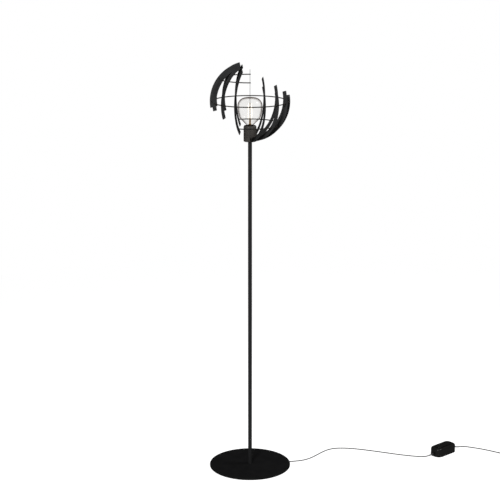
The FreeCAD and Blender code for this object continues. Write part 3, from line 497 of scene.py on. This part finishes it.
def coil_point(turned):
    """In along the lower layer and out along the upper one, as the coil's solid lies."""
    half = COIL_SWEEP / 2
    away = abs(turned - half)
    if away < COIL_TURNOVER:
        away = away ** 2 / (2 * COIL_TURNOVER) + COIL_TURNOVER / 2
    climb = min(max((turned - half + COIL_TURNOVER) / (2 * COIL_TURNOVER), 0.0), 1.0)
    level = COIL_LOW_Z + COIL_PITCH * (1 - math.cos(math.pi * climb)) / 2
    radius = COIL_INNER_R + COIL_PITCH * away / 360
    return COIL + polar(radius, math.radians(COIL_START + turned), level)


def coil_end(turned):
    """The point one cord's diameter outside this end of the coil, and the cord's heading there."""
    heading = (coil_point(turned + HEADING_STEP) - coil_point(turned - HEADING_STEP)).normalized()
    side = -1 if turned == 0 else 1
    return coil_point(turned) + heading * side * 2 * CORD_R, heading


def flex_curve(name, points):
    curve = bpy.data.curves.new(name, "CURVE")
    curve.dimensions = "3D"
    curve.bevel_depth = CORD_R
    curve.bevel_resolution = 5
    curve.resolution_u = 10
    curve.use_fill_caps = True
    spline = curve.splines.new("NURBS")
    spline.points.add(len(points) - 1)
    for point, at in zip(spline.points, points):
        point.co = (*at, 1.0)
    spline.order_u = 3
    spline.use_endpoint_u = True
    made = bpy.data.objects.new(name, curve)
    scene.collection.objects.link(made)
    curve.materials.append(flex)
    return made


near_points = [
    polar(EXIT_R, EXIT_AZIMUTH, CORD_Z),
    polar(EXIT_R + EXIT_STRAIGHT, EXIT_AZIMUTH, CORD_Z),
    *(Vector((x, y, CORD_Z)) for x, y in FLOOR_ROUTE),
    *(Vector(at) for at in RISE_TO_SWITCH),
    switch_point(-SWITCH_HALF - 0.007, CORD_ENTRY_Z),
    switch_point(-SWITCH_HALF + CORD_IN_SWITCH, CORD_ENTRY_Z),
]
near_flex = flex_curve("flex_to_switch", near_points)

coil_start, start_heading = coil_end(0)
turn_count = round(COIL_SWEEP / 360 * POINTS_PER_TURN)
tail, tail_heading = coil_end(COIL_SWEEP)
# From the coil's end, down to the floor, along it and up into the plug.
TAIL_ROUTE = (
    (0.0012, 0.019, tail.z - 0.0012), (0.0036, 0.031, tail.z - 0.0036), (0.008, 0.043, CORD_Z),
    (0.0155, 0.054, CORD_Z), (0.025, 0.0635, 0.0034), (0.035, 0.0705, 0.0056),
    (0.044, 0.076, 0.00685), (0.052, 0.0805, 0.00685),
)
far_points = [
    switch_point(SWITCH_HALF - CORD_IN_SWITCH, CORD_ENTRY_Z),
    switch_point(SWITCH_HALF + 0.006, CORD_ENTRY_Z),
    *(Vector(at) for at in FALL_FROM_SWITCH),
    *(Vector((x, y, CORD_Z)) for x, y in ROUTE_TO_COIL),
    coil_start - start_heading * COIL_RUN_IN,
    coil_start,
    *(coil_point(COIL_SWEEP * k / turn_count) for k in range(turn_count + 1)),
    tail,
    tail + tail_heading * COIL_RUN_OUT,
    *(Vector((tail.x + x, tail.y + y, z)) for x, y, z in TAIL_ROUTE),
]
far_flex = flex_curve("flex_to_plug", far_points)

plug_heading = (far_points[-1] - far_points[-2]).normalized()
pin_root = far_points[-1].dot(plug_heading) + PLUG_LENGTH
dress(
    sleeved_pins("plug_pin_plate", (0.70, 0.69, 0.66), pin_root + SLEEVE_LENGTH, plug_heading),
    "plug_pins",
)

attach(near_flex, "stand")
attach(far_flex, "stand")
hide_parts("cord_to_switch")
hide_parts("cord_to_coil", "cord_coil", "cord_tail")


# ---------------------------------------------------------------- floor, light and camera
FLOOR_REACH = 60.0
FLOOR_PAINT = (0.40, 0.40, 0.40)
FLOOR_GLOW = 0.84  # added to the lit paint where the floor is seen, so that it is pale and keeps shadows
FLOOR_MIDDLE = (0.4, 0.1, 0.0)
FLOOR_PLAIN_FROM, FLOOR_PLAIN_AT = 1.0, 3.2  # distances over which it turns into the white backdrop
WORLD_LIGHT = 0.06

# Name, place, point that it faces, width and height, watts
SOFT_BOXES = (
    ("key_left", (-1.3, -4.6, 3.1), (0.1, 0.0, 1.0), (1.4, 1.4), 330.0),
    ("fill_right", (2.6, -3.6, 2.0), (0.2, 0.0, 0.8), (2.0, 2.0), 10.0),
    ("top", (2.1, 0.0, 3.3), (0.4, 0.0, 0.3), (0.8, 0.5), 70.0),
)

# The camera was fitted to the photograph's frame of 500 pixels.
FRAME_WIDTH = 500
FOCAL_LENGTH_PIXELS = 1528.69
SENSOR_WIDTH = 36.0
CAMERA_AT = (0.0, -5.6023, 2.3047)
CAMERA_DIP = 0.250721  # radians below level


def studio_floor():
    """A pale floor that shows the lamp's shadow and fades to white away from it."""
    mesh = bpy.data.meshes.new("studio_floor")
    corners = [(FLOOR_REACH * x, FLOOR_REACH * y, 0.0) for x, y in ((-1, -1), (1, -1), (1, 1), (-1, 1))]
    mesh.from_pydata(corners, [], [(0, 1, 2, 3)])
    floor = bpy.data.objects.new("studio_floor", mesh)
    scene.collection.objects.link(floor)
    g = material_graph("studio_floor_paint")
    seen = g.background_is_seen()
    paint = g.node("ShaderNodeBsdfDiffuse")
    g.feed(FLOOR_PAINT, paint.inputs["Color"])
    glow = g.emission(g.math("MULTIPLY", seen, FLOOR_GLOW))
    lit = g.node("ShaderNodeAddShader")
    g.feed(paint.outputs["BSDF"], lit.inputs[0])
    g.feed(glow.outputs["Emission"], lit.inputs[1])
    distance = g.node("ShaderNodeVectorMath", operation="DISTANCE")
    g.feed(g.place(), distance.inputs[0])
    distance.inputs[1].default_value = FLOOR_MIDDLE
    far = g.spread(distance.outputs["Value"], FLOOR_PLAIN_FROM, FLOOR_PLAIN_AT)
    g.show_mixed(g.math("MULTIPLY", far, seen), lit, g.emission(1.0))
    mesh.materials.append(g.owner)


def studio_world():
    """White to look at, and only a little light from it."""
    scene.world = bpy.data.worlds.new("studio_world")
    g = Graph(scene.world, "ShaderNodeOutputWorld")
    backgrounds = []
    for strength in (WORLD_LIGHT, 1.0):
        background = g.node("ShaderNodeBackground")
        g.feed(WHITE, background.inputs["Color"])
        background.inputs["Strength"].default_value = strength
        backgrounds.append(background)
    g.show_mixed(g.background_is_seen(), *backgrounds)


def soft_box(name, at, aim, size, power):
    lamp = bpy.data.lights.new(name, "AREA")
    lamp.shape = "RECTANGLE"
    lamp.size, lamp.size_y = size
    lamp.energy = power
    made = bpy.data.objects.new(name, lamp)
    made.location = at
    made.rotation_euler = (Vector(aim) - Vector(at)).to_track_quat("-Z", "Y").to_euler()
    scene.collection.objects.link(made)


studio_floor()
studio_world()
for facts in SOFT_BOXES:
    soft_box(*facts)

camera_data = bpy.data.cameras.new("camera")
camera_data.sensor_width = SENSOR_WIDTH
camera_data.lens = FOCAL_LENGTH_PIXELS * SENSOR_WIDTH / FRAME_WIDTH
camera_data.clip_end = 200.0
camera = bpy.data.objects.new("camera", camera_data)
camera.location = CAMERA_AT
camera.rotation_euler = (math.pi / 2 - CAMERA_DIP, 0.0, 0.0)
scene.collection.objects.link(camera)
scene.camera = camera

scene.view_settings.view_transform = "Standard"

bpy.context.view_layer.update()
